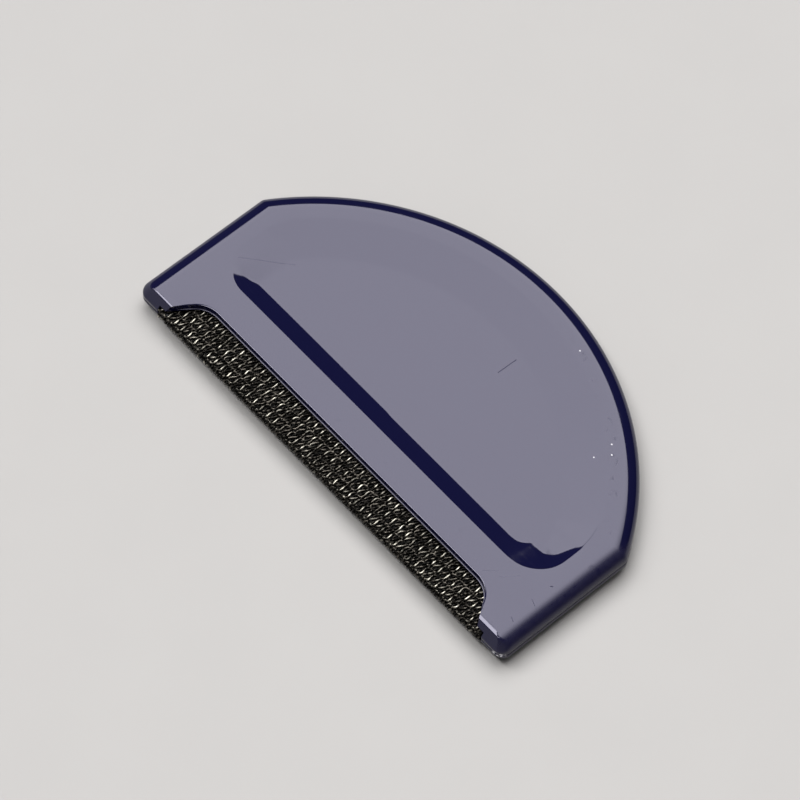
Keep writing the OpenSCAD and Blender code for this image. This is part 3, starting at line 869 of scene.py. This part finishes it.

# %% [markdown]
# ## Tarnished wire, with painted glints and painted shade
# The wire looks like a blackened copper alloy, rubbed bright where it drags over wool. One
# dark metal for all of it looks dead, and a bright one looks new. So the knitting tree
# stores a mask on one leg of each loop and on the heads at the fold, which is partly rubbed
# wear and partly painted glints, and the material reads that attribute to go from a blotchy
# black to a pale metal. The inner layer gets darker tones: painted shade under the outer one.


# %% Wire materials
def wire_material(name, dark, light, rubbed_glint_tone):
    """Tarnished metal; a stored attribute takes it from its dull tone to a bright one, which is
    partly rubbed wear and partly painted glints.
    """
    material, wire, metal = new_material(name)
    rub_and_glint_mask = add(wire, "ShaderNodeAttribute", attribute_name="rub_and_glint").outputs["Fac"]
    tarnish = noise(wire, object_place(wire), 2300.0)
    dull = colour_mix(wire, ease(wire, tarnish, 0.45, 0.62), dark, light)
    plug(wire, metal.inputs["Base Color"], colour_mix(wire, rub_and_glint_mask, dull, rubbed_glint_tone))
    metal.inputs["Metallic"].default_value = 1.0
    plug(wire, metal.inputs["Roughness"], ease(wire, tarnish, 0.35, 0.65, 0.44, 0.34))
    return material


# The pale last tone is partly rubbed metal and partly painted glints.
outer_wire = wire_material("rubbed_wire_painted_glints", (0.006, 0.0055, 0.005, 1), (0.085, 0.078, 0.068, 1),
                           (0.56, 0.54, 0.47, 1))
# Darker tones and a dimmer bright tone: painted shade, for the layer that lies under the outer
# one.
shaded_inner_wire = wire_material("shade_darkened_wire", (0.004, 0.004, 0.004, 1), (0.022, 0.020, 0.018, 1),
                           (0.20, 0.19, 0.16, 1))
print("wires are", outer_wire.name, "and", shaded_inner_wire.name)

# %% [markdown]
# ## The two layers
# The knitted tube is pressed flat, so a second layer shows through the gaps of the first. It
# could be a copy pushed inwards, but then its loops would hide behind the outer ones. It is
# knitted again instead, from the same tree: half a stitch over, half a course on, and sunk.


# %% Knit the layers
def knit_layer(name, wire, **sizes):
    """Knits one layer round the fold, as a plain mesh."""
    path_mesh = bpy.data.meshes.new(name + "_path")
    steps = [(i, i + 1) for i in range(len(path_mm) - 1)]
    path_mesh.from_pydata((path_mm * MM).tolist(), steps, [])
    holder = bpy.data.objects.new(name + "_path", path_mesh)
    scene.collection.objects.link(holder)
    modifier = holder.modifiers.new("knit", "NODES")
    modifier.node_group = knitting
    modifier[sockets["Wire"]] = wire
    for label, value in sizes.items():
        modifier[sockets[label.replace("_", " ")]] = value
    ready = holder.evaluated_get(bpy.context.evaluated_depsgraph_get())
    mesh = bpy.data.meshes.new_from_object(ready)
    mesh.name = name
    bpy.data.objects.remove(holder)
    piece = bpy.data.objects.new(name, mesh)
    scene.collection.objects.link(piece)
    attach(piece, "root")
    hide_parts("wire_mesh")
    mesh.calc_loop_triangles()
    print(name, len(mesh.loop_triangles), "triangles")


knit_layer("outer_knit", outer_wire)
# The inner layer's darker wire and weaker bright spots (Shine) are painted shade under the outer
# layer.
knit_layer("inner_knit", shaded_inner_wire, Sunk=0.00012, Shift=0.00074, Start=0.0016, Courses=8,
           Stitches=47, Seed=7.0, Shine=0.25)

# %% [markdown]
# ## Core bar
# A stiff bar inside the fold keeps the knit straight, and only its ends peep out between the
# wires. Nothing of its shape needs more detail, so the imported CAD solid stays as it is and
# gets the dull, finely grained dark plastic of a hidden part.

# %% Core material
CORE_TONES = (0.007, 0.007, 0.008, 1), (0.018, 0.018, 0.020, 1)
core_plastic, core, core_shader = new_material("core_plastic")
grains = noise(core, object_place(core), 2500.0, 3.0)
plug(core, core_shader.inputs["Base Color"], colour_mix(core, grains, *CORE_TONES))
plug(core, core_shader.inputs["Roughness"], ease(core, grains, 0.3, 0.7, 0.55, 0.8))
core_bump = add(core, "ShaderNodeBump")
core_bump.inputs["Strength"].default_value = 0.4
core_bump.inputs["Distance"].default_value = 0.00003
plug(core, core_bump.inputs["Height"], grains)
plug(core, core_shader.inputs["Normal"], core_bump.outputs[0])
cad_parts["mesh_core"].material_slots[0].material = core_plastic
print("core bar wears", core_plastic.name)
